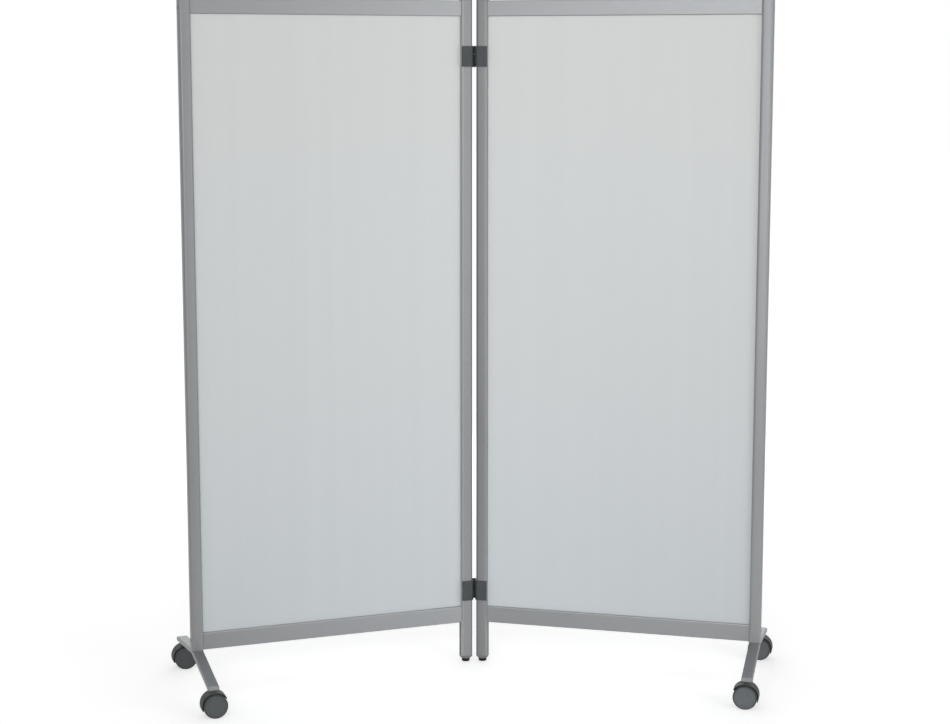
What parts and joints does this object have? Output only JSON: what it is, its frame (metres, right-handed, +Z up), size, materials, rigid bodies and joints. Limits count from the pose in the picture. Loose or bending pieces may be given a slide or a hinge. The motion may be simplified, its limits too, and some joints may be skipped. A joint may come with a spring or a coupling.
{
  "type": "rolling partition",
  "caption": "Freestanding folding screen of framed translucent leaves joined by knuckle hinges, rolling on arched feet with twin-wheel swivel casters",
  "frame": {"origin": "on the floor, below the middle of the partition's bounding box as it stands folded slightly forward", "axes": "+Z up; +X along the partition's width, from the left leaf to the right leaf seen from the front; -Y towards the front, where the open side of the fold is"},
  "size_m": [1.6018, 0.4432, 1.74],
  "materials": {
    "frame_metal": "satin grey coat on extruded aluminium",
    "foot_metal": "satin grey die casting",
    "cast_metal": "bare die casting",
    "frosted_sheet": "frosted translucent twin-wall sheet",
    "gasket": "matt grey strip",
    "steel": "zinc-plated steel",
    "grey_plastic": "satin moulded plastic",
    "black_plastic": "matt moulded plastic",
    "hinge_plastic": "satin dark grey moulded plastic",
    "caster_plastic": "satin black moulded plastic",
    "wheel_plastic": "satin dark grey moulded plastic"
  },
  "bodies": {
    "left_leaf": {"left_outer_post": "frame_metal", "left_inner_post": "frame_metal", "left_top_rail": "frame_metal", "left_bottom_rail": "frame_metal", "left_panel_sheet": "frosted_sheet", "left_sheet_gasket": "gasket", "left_frame_screws": "steel", "left_post_caps": "grey_plastic", "left_glide_plug": "grey_plastic", "left_glide": "black_plastic", "left_foot_bar": "foot_metal", "left_foot_insert": "cast_metal", "left_foot_bolts": "steel", "left_caster_stems": "steel", "upper_hinge_left_half": "hinge_plastic", "upper_hinge_pin": "steel", "upper_hinge_left_screws": "steel", "lower_hinge_left_half": "hinge_plastic", "lower_hinge_pin": "steel", "lower_hinge_left_screws": "steel"},
    "right_leaf": {"right_outer_post": "frame_metal", "right_inner_post": "frame_metal", "right_top_rail": "frame_metal", "right_bottom_rail": "frame_metal", "right_panel_sheet": "frosted_sheet", "right_sheet_gasket": "gasket", "right_frame_screws": "steel", "right_post_caps": "grey_plastic", "right_glide_plug": "grey_plastic", "right_glide": "black_plastic", "right_foot_bar": "foot_metal", "right_foot_insert": "cast_metal", "right_foot_bolts": "steel", "right_caster_stems": "steel", "upper_hinge_right_half": "hinge_plastic", "upper_hinge_right_screws": "steel", "lower_hinge_right_half": "hinge_plastic", "lower_hinge_right_screws": "steel"},
    "left_front_swivel": {"left_front_caster_housing": "caster_plastic", "left_front_axle": "steel"},
    "left_front_front_wheel": {"left_front_caster_front_wheel": "wheel_plastic"},
    "left_front_rear_wheel": {"left_front_caster_rear_wheel": "wheel_plastic"},
    "left_rear_swivel": {"left_rear_caster_housing": "caster_plastic", "left_rear_axle": "steel"},
    "left_rear_front_wheel": {"left_rear_caster_front_wheel": "wheel_plastic"},
    "left_rear_rear_wheel": {"left_rear_caster_rear_wheel": "wheel_plastic"},
    "right_front_swivel": {"right_front_caster_housing": "caster_plastic", "right_front_axle": "steel"},
    "right_front_front_wheel": {"right_front_caster_front_wheel": "wheel_plastic"},
    "right_front_rear_wheel": {"right_front_caster_rear_wheel": "wheel_plastic"},
    "right_rear_swivel": {"right_rear_caster_housing": "caster_plastic", "right_rear_axle": "steel"},
    "right_rear_front_wheel": {"right_rear_caster_front_wheel": "wheel_plastic"},
    "right_rear_rear_wheel": {"right_rear_caster_rear_wheel": "wheel_plastic"}
  },
  "joints": [
    {"name": "leaf_fold", "type": "hinge", "parent": "left_leaf", "child": "right_leaf", "pos_m": [0, 0.21504, 0.195], "axis": [0, 0, -1], "range_deg": [-123.3, 11.7]},
    {"name": "left_front_swivel", "type": "hinge", "parent": "left_leaf", "child": "left_front_swivel", "pos_m": [-0.65637, -0.1921, 0.055], "axis": [0, 0, 1], "continuous": true},
    {"name": "left_front_front_wheel_spin", "type": "hinge", "parent": "left_front_swivel", "child": "left_front_front_wheel", "pos_m": [-0.64805, -0.20594, 0.03], "axis": [-0.2865, 0.9581, 0], "continuous": true},
    {"name": "left_front_rear_wheel_spin", "type": "hinge", "parent": "left_front_swivel", "child": "left_front_rear_wheel", "pos_m": [-0.65702, -0.17596, 0.03], "axis": [-0.2865, 0.9581, 0], "continuous": true},
    {"name": "left_rear_swivel", "type": "hinge", "parent": "left_leaf", "child": "left_rear_swivel", "pos_m": [-0.76811, 0.18155, 0.055], "axis": [0, 0, 1], "continuous": true},
    {"name": "left_rear_front_wheel_spin", "type": "hinge", "parent": "left_rear_swivel", "child": "left_rear_front_wheel", "pos_m": [-0.75979, 0.1677, 0.03], "axis": [-0.2865, 0.9581, 0], "continuous": true},
    {"name": "left_rear_rear_wheel_spin", "type": "hinge", "parent": "left_rear_swivel", "child": "left_rear_rear_wheel", "pos_m": [-0.76876, 0.19769, 0.03], "axis": [-0.2865, 0.9581, 0], "continuous": true},
    {"name": "right_front_swivel", "type": "hinge", "parent": "right_leaf", "child": "right_front_swivel", "pos_m": [0.65637, -0.1921, 0.055], "axis": [0, 0, 1], "continuous": true},
    {"name": "right_front_front_wheel_spin", "type": "hinge", "parent": "right_front_swivel", "child": "right_front_front_wheel", "pos_m": [0.64805, -0.20594, 0.03], "axis": [0.2865, 0.9581, 0], "continuous": true},
    {"name": "right_front_rear_wheel_spin", "type": "hinge", "parent": "right_front_swivel", "child": "right_front_rear_wheel", "pos_m": [0.65702, -0.17596, 0.03], "axis": [0.2865, 0.9581, 0], "continuous": true},
    {"name": "right_rear_swivel", "type": "hinge", "parent": "right_leaf", "child": "right_rear_swivel", "pos_m": [0.76811, 0.18155, 0.055], "axis": [0, 0, 1], "continuous": true},
    {"name": "right_rear_front_wheel_spin", "type": "hinge", "parent": "right_rear_swivel", "child": "right_rear_front_wheel", "pos_m": [0.75979, 0.1677, 0.03], "axis": [0.2865, 0.9581, 0], "continuous": true},
    {"name": "right_rear_rear_wheel_spin", "type": "hinge", "parent": "right_rear_swivel", "child": "right_rear_rear_wheel", "pos_m": [0.76876, 0.19769, 0.03], "axis": [0.2865, 0.9581, 0], "continuous": true}
  ]
}
